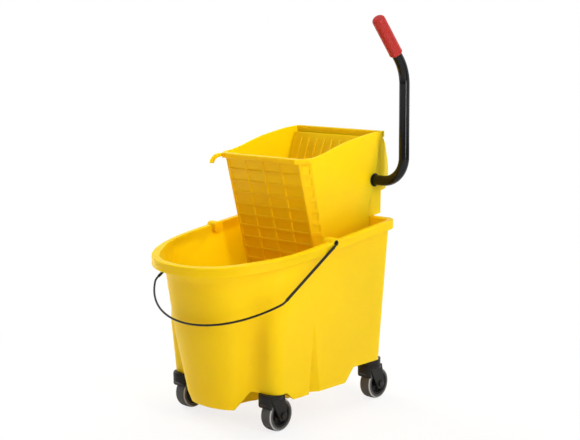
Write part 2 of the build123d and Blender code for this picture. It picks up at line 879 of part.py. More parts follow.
# Wringer basket with its grid of pockets, drain slots and the hook at its far front corner
with BuildPart() as wringer_basket:
    add(shell.part)
    add(cover_region, mode=Mode.SUBTRACT)
    with BuildSketch(front_face):
        with GridLocations(cell_pitch_x, cell_pitch_z, cell_columns, cell_rows):
            Rectangle(cell_pitch_x - cell_rib, cell_pitch_z - cell_rib)
    extrude(amount=-cell_depth, mode=Mode.SUBTRACT)
    with BuildSketch(front_face):
        with Locations((0, -cell_pitch_z * (cell_rows - slot_rows) / 2)):
            with GridLocations(cell_pitch_x, cell_pitch_z, cell_columns, slot_rows):
                SlotOverall(slot_length, slot_width)
    extrude(amount=-2 * front_wall, mode=Mode.SUBTRACT)
    with BuildSketch(Plane.XY.offset(basket_z)):
        with Locations((0, (front_low_y + back_low_y) / 2)):
            with GridLocations(cell_pitch_x, floor_slot_pitch, cell_columns, floor_slot_rows):
                SlotOverall(slot_length, slot_width)
    extrude(amount=2 * housing_wall, mode=Mode.SUBTRACT)
    for side in sides.values():
        corner = front_corner(front_middle_z, 0)
        corner_face = Plane(
            origin=(side * (corner.X + corner_cut[0] / 2), corner.Y + corner_cut[1] / 2, front_middle_z),
            x_dir=(corner_cut[0], side * corner_cut[1], 0),
            z_dir=Vector(corner_cut[0], side * corner_cut[1], 0).cross(front_rise),
        )
        row_rise = cell_pitch_z / math.hypot(1, front_lean)
        spots = []
        for row in range(cell_rows):
            spot = corner_face.origin + front_rise * (row - (cell_rows - 1) / 2) * row_rise
            spots.append(corner_face.to_local_coords(spot))
        with BuildSketch(corner_face):
            with Locations(*spots):
                Rectangle(*strip_cell)
        extrude(amount=-strip_depth, mode=Mode.SUBTRACT)
    with BuildSketch(Plane.YZ.offset(hook_x)):
        with BuildLine():
            Spline(hook_path)
        trace(line_width=hook_thick)
    extrude(amount=-hook_width)
    for side in sides.values():
        with BuildSketch(Plane.YZ.offset(side * bumper_x - bumper_width / 2)):
            with BuildLine():
                Polyline((back_y(bumper_low_z) - 1, bumper_low_z), (bumper_y, bumper_low_z),
                         (bumper_y, bumper_high_z), (back_y(bumper_high_z) - 1, bumper_high_z), close=True)
            make_face()
        extrude(amount=bumper_width)
    with Locations(across(shaft_y, shaft_z)):
        Cylinder(shaft_bush_radius, 3 * basket_half, mode=Mode.SUBTRACT)
    with Locations(across(hinge_y, hinge_z)):
        Cylinder(rod_radius, 3 * basket_half, mode=Mode.SUBTRACT)
write(wringer_basket.part, "wringer_basket")

# Rear cover with its hook over the tub's rim
with BuildPart() as wringer_rear_cover:
    add(shell.part)
    add(cover_region, mode=Mode.INTERSECT)
    hook_profile = [
        (rim_hook_y, rim_hook_low_z),
        (rim_hook_y + rim_hook_thick, rim_hook_low_z),
        (rim_hook_y + rim_hook_thick, shelf_z(rim_hook_y) + 2),
        (rim_hook_y, shelf_z(rim_hook_y) + 2),
    ]
    add(prism(hook_profile, rim_hook_half))
    with Locations(across(shaft_y, shaft_z)):
        Cylinder(shaft_bush_radius, 3 * basket_half, mode=Mode.SUBTRACT)
write(wringer_rear_cover.part, "wringer_rear_cover")

with BuildPart() as rear_cover_screws:
    for x, z in screw_spots:
        with Locations(Plane(origin=(x, rear_wall_y, z), z_dir=(0, -1, 0))):
            Cylinder(screw_radius, rear_wall_y - seam_y(z) + boss_length - 3, align=on_floor)
            Cylinder(screw_head_radius, screw_head, align=under)
    head_faces = rear_cover_screws.faces().group_by(Axis.Y)[-1]
    fillet(head_faces.edges(), screw_head / 2)
write(rear_cover_screws.part, "rear_cover_screws")


# Press plate, leaning back on the hinge rod at its foot

lean = math.radians(plate_lean)
plate_plane = Plane(
    origin=(0, hinge_y, hinge_z),
    x_dir=(1, 0, 0),
    z_dir=(0, -math.cos(lean), math.sin(lean)),
)


def on_plate(along, behind):
    """Side-view point at a distance up the plate and a distance behind its hinge."""
    point = plate_plane.from_local_coords((0, along, -behind))
    return (point.Y, point.Z)


def roller_path(turn):
    """Side-view place of a roller as the resting plate sees it, at a turn of the lever."""
    angle = math.radians(crank_rest + turn)
    dy = shaft_y - crank_radius * math.sin(angle) - hinge_y
    dz = shaft_z + crank_radius * math.cos(angle) - hinge_z
    back = math.radians(turn * plate_turn / lever_turn)
    return Vector(
        hinge_y + dy * math.cos(back) + dz * math.sin(back),
        hinge_z - dy * math.sin(back) + dz * math.cos(back),
    )


def track_point(turn):
    """Point of the cam edge under the roller: its path set off towards the plate."""
    run = roller_path(turn + 0.5) - roller_path(turn - 0.5)
    square = Vector(-run.Y, run.X).normalized()
    forward = Vector(-math.cos(lean), math.sin(lean))
    towards_plate = math.copysign(1, square.dot(forward))
    return roller_path(turn) + square * towards_plate * (roller_radius + roller_gap)


with BuildPart() as press_plate:
    with BuildSketch(plate_plane.offset(plate_back)):
        with BuildLine():
            Polyline((plate_low_half, 0), (plate_high_half, plate_length), (-plate_high_half, plate_length),
                     (-plate_low_half, 0), close=True)
        make_face()
    extrude(amount=plate_front - plate_back)
    with BuildSketch(plate_plane.offset(plate_front)):
        with Locations((0, (rib_foot + plate_length - rib_head) / 2)):
            with GridLocations(rib_pitch, 1, rib_count, 1):
                Rectangle(rib_width, plate_length - rib_head - rib_foot)
    extrude(amount=rib_proud)
    with BuildSketch(plate_plane.offset(plate_back)):
        with Locations(*[(0, along) for along in stiffeners]):
            Rectangle(2 * plate_low_half - 8, rib_width)
        with Locations((0, plate_length - rib_width / 2)):
            Rectangle(2 * plate_high_half, rib_width)
    extrude(amount=-stiffener_depth)
    for side in sides.values():
        with BuildSketch(Plane.YZ.offset(side * fin_x - fin_width / 2)):
            with BuildLine():
                track = Spline([track_point(turn) for turn in track_turns])
                Polyline(track @ 1, on_plate(fin_low, -plate_back), on_plate(fin_high, -plate_back),
                         on_plate(fin_high, fin_rise), track @ 0)
            make_face()
            with Locations((hinge_y, hinge_z)):
                Circle(fin_clearance, mode=Mode.SUBTRACT)
        extrude(amount=fin_width)
    with Locations(across(hinge_y, hinge_z)):
        Cylinder(barrel_radius, 2 * plate_low_half)
        Cylinder(rod_radius + running_gap, 3 * plate_low_half, mode=Mode.SUBTRACT)
write(press_plate.part, "press_plate")

with BuildPart() as plate_hinge_rod:
    with Locations(across(hinge_y, hinge_z)):
        Cylinder(rod_radius, 2 * rod_half)
write(plate_hinge_rod.part, "plate_hinge_rod")

with BuildPart() as rod_end_caps:
    for side in sides.values():
        with BuildSketch(across(hinge_y, hinge_z, side * (basket_side(hinge_z) + cap_gap))):
            Circle(cap_radius)
        extrude(amount=side * cap_length)
    with Locations(across(hinge_y, hinge_z)):
        Cylinder(rod_radius, 2 * rod_half, mode=Mode.SUBTRACT)
write(rod_end_caps.part, "rod_end_caps")


# Lever tube, bent out of the shaft's line and up the side of the wringer

knee = Vector(lever_x, shaft_y, knee_z)
handle = Vector(0, -math.sin(math.radians(knee_angle)), math.cos(math.radians(knee_angle)))
crank_direction = Vector(0, -math.sin(math.radians(crank_rest)), math.cos(math.radians(crank_rest)))
crank_end = Vector(0, shaft_y, shaft_z) + crank_direction * crank_radius


def cross_pin_plane(side):
    """Plane of a cross pin through the shaft, square to its crank."""
    return Plane(origin=(side * crank_x, shaft_y, shaft_z), x_dir=(1, 0, 0),
                 z_dir=(0, -crank_direction.Z, crank_direction.Y))


with BuildPart() as lever_tube:
    with BuildLine() as route:
        FilletPolyline((shaft_far_x, shaft_y, shaft_z), (lever_x, shaft_y, shaft_z), knee,
                       knee + handle * handle_length, radius=[elbow_radius, knee_radius])
    with BuildSketch(across(shaft_y, shaft_z, shaft_far_x)):
        Circle(tube_radius)
        Circle(tube_radius - tube_wall, mode=Mode.SUBTRACT)
    sweep()
    for side in sides.values():
        with Locations(cross_pin_plane(side)):
            Cylinder(cross_pin_radius, 3 * tube_radius, mode=Mode.SUBTRACT)
write(lever_tube.part, "lever_tube")

with BuildPart() as lever_grip:
    with BuildSketch(Plane(origin=knee, x_dir=(1, 0, 0), z_dir=(0, -handle.Z, handle.Y))):
        with BuildLine():
            Line((tube_radius, grip_start), (grip_radius, grip_start))
            Line((grip_radius, grip_start), (grip_radius, grip_end - grip_round))
            CenterArc((grip_radius - grip_round, grip_end - grip_round), grip_round, 0, 90)
            Line((grip_radius - grip_round, grip_end), (0, grip_end))
            Line((0, grip_end), (0, handle_length))
            Line((0, handle_length), (tube_radius, handle_length))
            Line((tube_radius, handle_length), (tube_radius, grip_start))
        make_face()
    revolve(axis=Axis(knee, handle))
write(lever_grip.part, "lever_grip")

with BuildPart() as crank_cross_pins:
    for side in sides.values():
        with Locations(cross_pin_plane(side)):
            Cylinder(cross_pin_radius, 2 * crank_hub - 0.4)
write(crank_cross_pins.part, "crank_cross_pins")

with BuildPart() as roller_pins:
    for side in sides.values():
        roller_end = fin_x - roller_width / 2 - pin_play
        with BuildSketch(across(crank_end.Y, crank_end.Z, side * roller_end)):
            Circle(roller_pin_radius)
        extrude(amount=side * (crank_x + crank_thick / 2 - roller_end))
        with BuildSketch(across(crank_end.Y, crank_end.Z, side * roller_end)):
            Circle(pin_head_radius)
        extrude(amount=-side * pin_head)
        with BuildSketch(across(crank_end.Y, crank_end.Z, side * (crank_x + crank_thick / 2))):
            Circle(pin_head_radius)
        extrude(amount=side * pin_head)
write(roller_pins.part, "roller_pins")

for name, side in sides.items():
    with BuildPart() as crank_arm:
        with BuildSketch(Plane.YZ.offset(side * crank_x - crank_thick / 2)):
            with Locations((shaft_y, shaft_z)):
                Circle(crank_hub)
            with Locations((crank_end.Y, crank_end.Z)):
                Circle(crank_tip)
            make_hull()
        extrude(amount=crank_thick)
        with Locations(across(shaft_y, shaft_z, side * crank_x)):
            Cylinder(tube_radius, 2 * crank_thick, mode=Mode.SUBTRACT)
        with Locations(across(crank_end.Y, crank_end.Z, side * crank_x)):
            Cylinder(roller_pin_radius, 2 * crank_thick, mode=Mode.SUBTRACT)
        with Locations(cross_pin_plane(side)):
            Cylinder(cross_pin_radius, 3 * crank_hub, mode=Mode.SUBTRACT)
    write(crank_arm.part, f"crank_arm_{name}")

    with BuildPart() as crank_roller:
        with Locations(across(crank_end.Y, crank_end.Z, side * fin_x)):
            Cylinder(roller_radius, roller_width)
        fillet(crank_roller.edges(), 1.0)
        with Locations(across(crank_end.Y, crank_end.Z, side * fin_x)):
            Cylinder(roller_pin_radius + running_gap, 2 * roller_width, mode=Mode.SUBTRACT)
    write(crank_roller.part, f"crank_roller_{name}")

    with BuildPart() as shaft_bush:
        with BuildSketch(across(shaft_y, shaft_z, side * bush_inner_x)):
            Circle(shaft_bush_radius)
        extrude(amount=side * (bush_outer_x - bush_inner_x))
        with BuildSketch(across(shaft_y, shaft_z, side * bush_outer_x)):
            Circle(shaft_bush_flange)
        extrude(amount=side * bush_flange_width)
        with Locations(across(shaft_y, shaft_z)):
            Cylinder(tube_radius + running_gap, 3 * basket_half, mode=Mode.SUBTRACT)
    write(shaft_bush.part, f"shaft_bush_{name}")

with BuildPart() as shaft_end_cap:
    with BuildSketch(across(shaft_y, shaft_z, shaft_far_x - end_cap_thick)):
        Circle(end_cap_radius)
    extrude(amount=end_cap_length)
    fillet(shaft_end_cap.edges().sort_by(Axis.X)[0], end_cap_thick - 1)
    with BuildSketch(across(shaft_y, shaft_z, shaft_far_x)):
        Circle(tube_radius)
    extrude(amount=end_cap_length, mode=Mode.SUBTRACT)
write(shaft_end_cap.part, "shaft_end_cap")


# Return spring around the shaft: one wire, from a leg on the rear cover to a hole in the collar

def coil_point(turns):
    """Place on the coil after a number of turns from its bottom."""
    angle = 2 * math.pi * turns
    return Vector(spring_start_x + spring_pitch * turns, shaft_y - spring_radius * math.sin(angle),
                  shaft_z - spring_radius * math.cos(angle))


def coil_heading(turns):
    """Direction of the wire after a number of turns."""
    angle = 2 * math.pi * turns
    return Vector(spring_pitch / (2 * math.pi), -spring_radius * math.cos(angle),
                  spring_radius * math.sin(angle)).normalized()


def biarc_joint(start, heading, end, end_heading):
    """Joint and heading where two arcs that match both ends meet with one tangent."""
    chord = end - start
    both = heading + end_heading
    spread = 2 * (1 - heading.dot(end_heading))
    reach = (math.sqrt(chord.dot(both) ** 2 + spread * chord.dot(chord)) - chord.dot(both)) / spread
    leaving = start + heading * reach
    arriving = end - end_heading * reach
    return (leaving + arriving) * 0.5, (arriving - leaving).normalized()


with BuildPart() as return_spring:
    with BuildLine() as coil:
        Line(coil_point(0) - coil_heading(0) * spring_leg, coil_point(0))
        for quarter in range(4 * spring_turns):
            start, heading = coil_point(quarter / 4), coil_heading(quarter / 4)
            end, end_heading = coil_point((quarter + 1) / 4), coil_heading((quarter + 1) / 4)
            joint, joint_heading = biarc_joint(start, heading, end, end_heading)
            TangentArc(start, joint, tangent=heading)
            TangentArc(joint, end, tangent=joint_heading)
        last = coil_point(spring_turns)
        last_heading = coil_heading(spring_turns)
        bend = TangentArc(last, last + (last_heading + Vector(1, 0, 0)) * spring_bend, tangent=last_heading)
        Line(bend @ 1, (bend @ 1) + (bend % 1) * spring_stub)
    with BuildSketch(Plane(origin=coil.line @ 0, z_dir=coil.line % 0)):
        Circle(spring_wire)
    sweep()
write(return_spring.part, "return_spring")

stub_end = (bend @ 1) + (bend % 1) * spring_stub
with BuildPart() as spring_collar:
    with BuildSketch(across(shaft_y, shaft_z, collar_x)):
        Circle(collar_radius)
        Circle(tube_radius, mode=Mode.SUBTRACT)
    extrude(amount=collar_width)
    with BuildSketch(Plane(origin=stub_end + (bend % 1), z_dir=bend % 1)):
        Circle(spring_wire + running_gap)
    extrude(amount=-2 * spring_stub, mode=Mode.SUBTRACT)
write(spring_collar.part, "spring_collar")

steps = 60
wire_points = [coil_point(step / steps) for step in range(steps * spring_turns + 1)]
nearest = min(
    (wire_points[first] - wire_points[second]).length
    for first in range(len(wire_points))
    for second in range(first + steps // 2, len(wire_points))
)
print(f"return spring: least gap between turns {nearest - 2 * spring_wire:.2f} mm")
print(f"moved by {middle.position.X:.2f}, {middle.position.Y:.2f} mm to the middle of the footprint")
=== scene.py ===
import json
import logging
import math
from dataclasses import dataclass
from enum import Enum
from typing import Sequence

import bmesh
import bpy
import numpy as np
from mathutils import Matrix, Vector


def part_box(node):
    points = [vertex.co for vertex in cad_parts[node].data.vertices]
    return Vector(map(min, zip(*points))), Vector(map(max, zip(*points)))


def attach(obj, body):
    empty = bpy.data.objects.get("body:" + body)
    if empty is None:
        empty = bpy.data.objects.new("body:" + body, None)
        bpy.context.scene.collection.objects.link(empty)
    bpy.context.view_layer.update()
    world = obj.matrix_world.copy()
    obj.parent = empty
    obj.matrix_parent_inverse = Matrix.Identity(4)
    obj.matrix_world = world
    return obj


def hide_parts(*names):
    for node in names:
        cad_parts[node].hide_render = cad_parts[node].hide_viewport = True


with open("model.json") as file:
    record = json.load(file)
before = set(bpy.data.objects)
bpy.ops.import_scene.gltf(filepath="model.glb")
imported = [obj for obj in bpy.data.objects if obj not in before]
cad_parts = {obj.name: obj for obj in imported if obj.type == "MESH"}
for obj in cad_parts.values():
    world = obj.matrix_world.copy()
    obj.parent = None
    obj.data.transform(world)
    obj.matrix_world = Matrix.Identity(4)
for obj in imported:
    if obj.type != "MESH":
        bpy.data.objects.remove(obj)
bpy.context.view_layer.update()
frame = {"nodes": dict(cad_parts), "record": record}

LOG = logging.getLogger("mop_bucket")

# Image that the camera is set up for, in pixels
IMAGE_WIDTH = 580
IMAGE_HEIGHT = 440

# Sizes are in millimetres from the tub's middle on the floor, which is found from the two front casters
MM = 0.001
FRONT_SWIVEL_Y = -107.0
REAR_SWIVEL_Y = 240.0
SWIVEL_X = 140.0

# The lever's shaft, which the return spring goes round
SHAFT_Y = 264.0
SHAFT_Z = 533.0

# Clearing up of meshes: distances in metres, angles in degrees
MERGE_DISTANCE = 0.000002
SLIVER_DISTANCE = 0.000001
WELD_DISTANCE = 0.00002
SHARP_ANGLE = 40.0
ROUNDED_ANGLE = 35.0

# Surface noise: slow drift of tone and fine grain, in cycles to the metre
DRIFT_SCALE = 9.0
DRIFT_DETAIL = 4.0
GRAIN_SCALE = 900.0
GRAIN_DETAIL = 2.0
GRAIN_STRENGTH = 0.3
EDGE_SAMPLES = 6

# How far light travels in the plastic, in metres, and the share of that for red, green and blue
WALL_DEPTH = 0.014
WALL_TINT = (1.0, 0.92, 0.15)

# Fewest points on a rod's arc and on a wire's arc, and the angle between points on a wire's arc, in degrees
ROD_ARC_POINTS = 6
WIRE_ARC_POINTS = 8
WIRE_ARC_STEP = 3.0

# Direction that no turned piece's axis runs along
ASKEW = (0.31, 0.53, 0.79)
X_AXIS = (1.0, 0.0, 0.0)


def box_middle(node: str) -> Vector:
    """Finds the middle of a CAD node's box.

    Args:
        node: The node.

    Returns:
        The middle, in metres.
    """
    low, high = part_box(node)
    return (Vector(low) + Vector(high)) / 2


LEFT_STEM = box_middle("caster_stem_front_left")
RIGHT_STEM = box_middle("caster_stem_front_right")
TUB_X = (LEFT_STEM.x + RIGHT_STEM.x) / 2
TUB_Y = RIGHT_STEM.y - FRONT_SWIVEL_Y * MM


class Slot(Enum):
    """Material slots of the record."""

    YELLOW = "yellow_plastic"
    BLACK_PAINT = "black_paint"
    BLACK_PLASTIC = "black_plastic"
    RUBBER = "grey_rubber"
    STEEL = "steel"
    NYLON = "white_nylon"
    GRIP = "red_grip"


class Turn(Enum):
    """The two sides of the object, as seen from behind it."""

    LEFT = -1
    RIGHT = 1


@dataclass(frozen=True)
class Finish:
    """Look of one material.

    Attributes:
        name: Name of the material.
        colour: Base colour, linear.
        roughness: Mean roughness.
        metallic: 1 for bare metal, 0 for the rest.
        specular: Strength of the plain gloss.
        glow: Share of the light that travels inside the material before it leaves.
        speckle: How far the colour wanders over the surface.
        gloss_range: How far the roughness wanders over the surface.
        grain: Height of the fine surface grain, in metres.
        edge: Radius that the edges are shaded with, in metres.
        ring: Colour of a painted highlight band that a piece's own ring attribute marks, or None.
    """

    name: str
    colour: tuple[float, float, float]
    roughness: float
    metallic: float = 0.0
    specular: float = 0.5
    glow: float = 0.0
    speckle: float = 0.04
    gloss_range: float = 0.05
    grain: float = 0.00003
    edge: float = 0.001
    ring: tuple[float, float, float] | None = None


FINISHES: dict[Slot, Finish] = {
    Slot.YELLOW: Finish(
        "YellowPlastic", (0.965, 0.56, 0.003), 0.42, specular=0.12, glow=0.8, speckle=0.03, grain=0.00002,
        edge=0.0025,
    ),
    Slot.BLACK_PAINT: Finish(
        "BlackGloss", (0.005, 0.0048, 0.0046), 0.10, specular=0.26, speckle=0.15, grain=0.0,
    ),
    Slot.BLACK_PLASTIC: Finish(
        "BlackMoulded", (0.012, 0.0118, 0.0115), 0.42, specular=0.16, speckle=0.12, grain=0.00006,
    ),
    Slot.RUBBER: Finish(
        "GreyTyre", (0.062, 0.061, 0.058), 0.55, specular=0.35, speckle=0.12, grain=0.00008,
        # Pale band on the tyre's shoulders: a painted highlight, not a colour of the rubber
        ring=(0.50, 0.49, 0.47),
    ),
    Slot.STEEL: Finish("ZincSteel", (0.56, 0.56, 0.57), 0.34, metallic=1.0, gloss_range=0.12),
    Slot.NYLON: Finish("Nylon", (0.78, 0.77, 0.73), 0.48),
    Slot.GRIP: Finish("RedGrip", (0.42, 0.022, 0.016), 0.42, specular=0.28, speckle=0.02, grain=0.0),
}


def surface_group() -> bpy.types.NodeTree:
    """Builds the shader group for moulded and painted surfaces: a slow drift of tone and a fine grain.

    Returns:
        The node group, with a tone factor and a grain height as its outputs.
    """
    tree = bpy.data.node_groups.new("MouldedSurface", "ShaderNodeTree")
    for name, default in (("Drift", DRIFT_SCALE), ("Grain", GRAIN_SCALE)):
        socket = tree.interface.new_socket(name, in_out="INPUT", socket_type="NodeSocketFloat")
        socket.default_value = default
    tree.interface.new_socket("Tone", in_out="OUTPUT", socket_type="NodeSocketFloat")
    tree.interface.new_socket("Height", in_out="OUTPUT", socket_type="NodeSocketFloat")
    given = tree.nodes.new("NodeGroupInput")
    result = tree.nodes.new("NodeGroupOutput")
    place = tree.nodes.new("ShaderNodeTexCoord")
    drift = tree.nodes.new("ShaderNodeTexNoise")
    drift.inputs["Detail"].default_value = DRIFT_DETAIL
    grain = tree.nodes.new("ShaderNodeTexNoise")
    grain.inputs["Detail"].default_value = GRAIN_DETAIL
    for noise, scale in ((drift, "Drift"), (grain, "Grain")):
        tree.links.new(place.outputs["Object"], noise.inputs["Vector"])
        tree.links.new(given.outputs[scale], noise.inputs["Scale"])
    tree.links.new(drift.outputs["Fac"], result.inputs["Tone"])
    tree.links.new(grain.outputs["Fac"], result.inputs["Height"])
    return tree


def colour_mix(tree: bpy.types.NodeTree, first: Sequence[float], second: Sequence[float]) -> bpy.types.Node:
    """Adds a mix of two colours.

    Args:
        tree: Tree of the material.
        first: Colour at factor 0.
        second: Colour at factor 1.

    Returns:
        The mix node.
    """
    mix = tree.nodes.new("ShaderNodeMix")
    mix.data_type = "RGBA"
    mix.inputs["A"].default_value = (*first, 1)
    mix.inputs["B"].default_value = (*second, 1)
    return mix


def make_material(finish: Finish, group: bpy.types.NodeTree) -> bpy.types.Material:
    """Builds one material.

    Args:
        finish: Its look.
        group: Shared surface group.

    Returns:
        The material.
    """
    material = bpy.data.materials.new(finish.name)
    material.use_nodes = True
    tree = material.node_tree
    shader = tree.nodes["Principled BSDF"]
    shader.inputs["Metallic"].default_value = finish.metallic
    shader.inputs["Specular IOR Level"].default_value = finish.specular
    shader.inputs["Subsurface Weight"].default_value = finish.glow
    shader.inputs["Subsurface Radius"].default_value = WALL_TINT
    shader.inputs["Subsurface Scale"].default_value = WALL_DEPTH
    surface = tree.nodes.new("ShaderNodeGroup")
    surface.node_tree = group
    dark = [c * (1 - finish.speckle) for c in finish.colour]
    light = [min(1.0, c * (1 + finish.speckle)) for c in finish.colour]
    tone = colour_mix(tree, dark, light)
    tree.links.new(surface.outputs["Tone"], tone.inputs["Factor"])
    # A piece's ring attribute blends in a paler colour here: a painted highlight band
    if finish.ring is not None:
        highlight_mask = tree.nodes.new("ShaderNodeAttribute")
        highlight_mask.attribute_name = "ring"
        highlighted = colour_mix(tree, finish.colour, finish.ring)
        tree.links.new(highlight_mask.outputs["Fac"], highlighted.inputs["Factor"])
        tree.links.new(tone.outputs["Result"], highlighted.inputs["A"])
        tone = highlighted
    tree.links.new(tone.outputs["Result"], shader.inputs["Base Color"])
    gloss = tree.nodes.new("ShaderNodeMapRange")
    gloss.inputs["To Min"].default_value = finish.roughness - finish.gloss_range
    gloss.inputs["To Max"].default_value = finish.roughness + finish.gloss_range
    tree.links.new(surface.outputs["Tone"], gloss.inputs["Value"])
    tree.links.new(gloss.outputs["Result"], shader.inputs["Roughness"])
    soft_edge = tree.nodes.new("ShaderNodeBevel")
    soft_edge.samples = EDGE_SAMPLES
    soft_edge.inputs["Radius"].default_value = finish.edge
    bump = tree.nodes.new("ShaderNodeBump")
    bump.inputs["Strength"].default_value = GRAIN_STRENGTH
    bump.inputs["Distance"].default_value = finish.grain
    tree.links.new(soft_edge.outputs["Normal"], bump.inputs["Normal"])
    tree.links.new(surface.outputs["Height"], bump.inputs["Height"])
    tree.links.new(bump.outputs["Normal"], shader.inputs["Normal"])
    return material


def in_frame(points: np.ndarray) -> np.ndarray:
    """Takes points in millimetres from the tub's middle to metres in the frame.

    Args:
        points: Points, one row each.

    Returns:
        The points in metres.
    """
    return points * MM + np.array((TUB_X, TUB_Y, 0.0))


def carried(path: np.ndarray, headings: np.ndarray, radii: np.ndarray, sides: int,
            lean: Sequence[float]) -> np.ndarray:
    """Carries a circle along a path.

    With the heading h, the circle lies along a = h x lean and b = h x a, both made one long. Its points are
    path + radius (a cos t + b sin t) for t round the full turn.

    Args:
        path: Points of the path, one row each.
        headings: Direction of the path at each point.
        radii: Radius of the circle at each point.
        sides: Points on the circle.
        lean: Direction that the path never runs along.

    Returns:
        Grid of points, along the path and round the circle.
    """
    first = np.cross(headings, np.asarray(lean, float))
    first /= np.linalg.norm(first, axis=1, keepdims=True)
    second = np.cross(headings, first)
    second /= np.linalg.norm(second, axis=1, keepdims=True)
    turn = np.linspace(0.0, 2.0 * np.pi, sides, endpoint=False)
    ring = first[:, None] * np.cos(turn)[None, :, None] + second[:, None] * np.sin(turn)[None, :, None]
    return path[:, None] + radii[:, None, None] * ring


def closed_ends(path: np.ndarray, headings: np.ndarray,
                radius: float) -> tuple[np.ndarray, np.ndarray, np.ndarray]:
    """Repeats both ends of a path with no radius there, so that a tube along it is capped.

    Args:
        path: Points of the path.
        headings: Direction at each point.
        radius: Radius of the tube.

    Returns:
        The longer path, its headings and its radii.
    """
    whole = np.concatenate((path[:1], path, path[-1:]))
    along = np.concatenate((headings[:1], headings, headings[-1:]))
    radii = np.full(len(whole), radius)
    radii[[0, -1]] = 0.0
    return whole, along, radii


def turned(profile: np.ndarray, origin: Sequence[float], axis: Sequence[float], steps: int) -> np.ndarray:
    """Turns a profile about an axis.

    A profile point (s, r) at the angle t becomes origin + s axis + r (a cos t + b sin t), where a and b are
    square to the axis and to each other.

    Args:
        profile: Rows of distance along the axis and radius.
        origin: Point on the axis.
        axis: Direction of the axis.
        steps: Points round the full turn.

    Returns:
        Grid of points, along the profile and round the axis.
    """
    along = np.asarray(axis, float) / np.linalg.norm(axis)
    first = np.cross(along, ASKEW)
    first /= np.linalg.norm(first)
    second = np.cross(along, first)
    turn = np.linspace(0.0, 2.0 * np.pi, steps, endpoint=False)
    ring = first * np.cos(turn)[:, None] + second * np.sin(turn)[:, None]
    return np.asarray(origin, float) + profile[:, :1, None] * along + profile[:, 1:, None] * ring


def rounded_route(corners: np.ndarray, radii: Sequence[float], step: float) -> tuple[np.ndarray, np.ndarray]:
    """Follows a bent rod: straight runs joined by arcs that touch them.

    At a corner with headings d and e, the arc starts r tan(half the turn) before it, and its points are
    start + r (d sin t + n (1 - cos t)), with n the part of e that is square to d.

    Args:
        corners: Ends and corners of the route.
        radii: Bend radius at each inner corner.
        step: Angle between points on an arc, in degrees.

    Returns:
        Points of the route and the heading at each.
    """
    runs = np.diff(corners, axis=0)
    runs /= np.linalg.norm(runs, axis=1, keepdims=True)
    points, headings = [corners[:1]], [runs[:1]]
    for corner, before, after, radius in zip(corners[1:-1], runs[:-1], runs[1:], radii):
        bend = math.acos(float(np.dot(before, after)))
        square = after - before * np.dot(before, after)
        square /= np.linalg.norm(square)
        angle = np.linspace(0.0, bend, max(ROD_ARC_POINTS, int(math.degrees(bend) / step)))[:, None]
        start = corner - before * radius * math.tan(bend / 2)
        points.append(start + radius * (before * np.sin(angle) + square * (1.0 - np.cos(angle))))
        headings.append(before * np.cos(angle) + square * np.sin(angle))
    points.append(corners[-1:])
    headings.append(runs[-1:])
    return np.concatenate(points), np.concatenate(headings)


def bent_line(start: Sequence[float], heading: float,
              moves: Sequence[tuple[float, float]]) -> tuple[np.ndarray, np.ndarray]:
    """Draws a flat wire from runs and bends.

    A move of length l that turns by w has the heading a(s) = a + w s / l, and its points are the integral of
    (cos a, sin a): start + l / w (sin a(s) - sin a, cos a - cos a(s)).

    Args:
        start: First point.
        heading: First heading, in degrees.
        moves: Length and turn in degrees of each move; a turn of 0 is a straight run.

    Returns:
        Points of the wire and the heading at each, in its plane.
    """
    place, angle = np.asarray(start, float), math.radians(heading)
    points, headings = [], []
    for length, turn in moves:
        bend = math.radians(turn)
        count = 2 if turn == 0 else max(WIRE_ARC_POINTS, int(abs(turn) / WIRE_ARC_STEP))
        share = np.linspace(0.0, 1.0, count)
        reached = angle + bend * share
        if turn == 0:
            run = np.outer(share * length, (math.cos(angle), math.sin(angle)))
        else:
            across = np.sin(reached) - math.sin(angle)
            upward = math.cos(angle) - np.cos(reached)
            run = length / bend * np.stack((across, upward), 1)
        points.append(place + run)
        headings.append(np.stack((np.cos(reached), np.sin(reached)), 1))
        place, angle = points[-1][-1], float(reached[-1])
    return np.concatenate(points), np.concatenate(headings)


def piece_from_grid(name: str, grid: np.ndarray, closed: bool = False) -> bpy.types.Object:
    """Makes a closed piece from a grid of points whose columns run round it.

    Args:
        name: Name of the piece.
        grid: Points in millimetres, in rows and columns.
        closed: True where the last row joins the first.

    Returns:
        The piece, with its place in its mesh, its doubles merged and its faces pointing outwards.
    """
    rows, columns = grid.shape[:2]
    index = np.arange(rows * columns).reshape(rows, columns)
    index = np.hstack((index, index[:, :1]))
    if closed:
        index = np.vstack((index, index[:1]))
    quads = np.stack((index[:-1, :-1], index[1:, :-1], index[1:, 1:], index[:-1, 1:]), axis=-1).reshape(-1, 4)
    mesh = bpy.data.meshes.new(name)
    mesh.from_pydata(in_frame(grid.reshape(-1, 3)).tolist(), [], quads.tolist())
    work = bmesh.new()
    work.from_mesh(mesh)
    bmesh.ops.remove_doubles(work, verts=work.verts, dist=MERGE_DISTANCE)
    bmesh.ops.dissolve_degenerate(work, edges=work.edges, dist=SLIVER_DISTANCE)
    bmesh.ops.recalc_face_normals(work, faces=work.faces)
    work.to_mesh(mesh)
    work.free()
    mesh.polygons.foreach_set("use_smooth", np.ones(len(mesh.polygons), bool))
    mesh.set_sharp_from_angle(angle=math.radians(SHARP_ANGLE))
    piece = bpy.data.objects.new(name, mesh)
    bpy.context.scene.collection.objects.link(piece)
    return piece


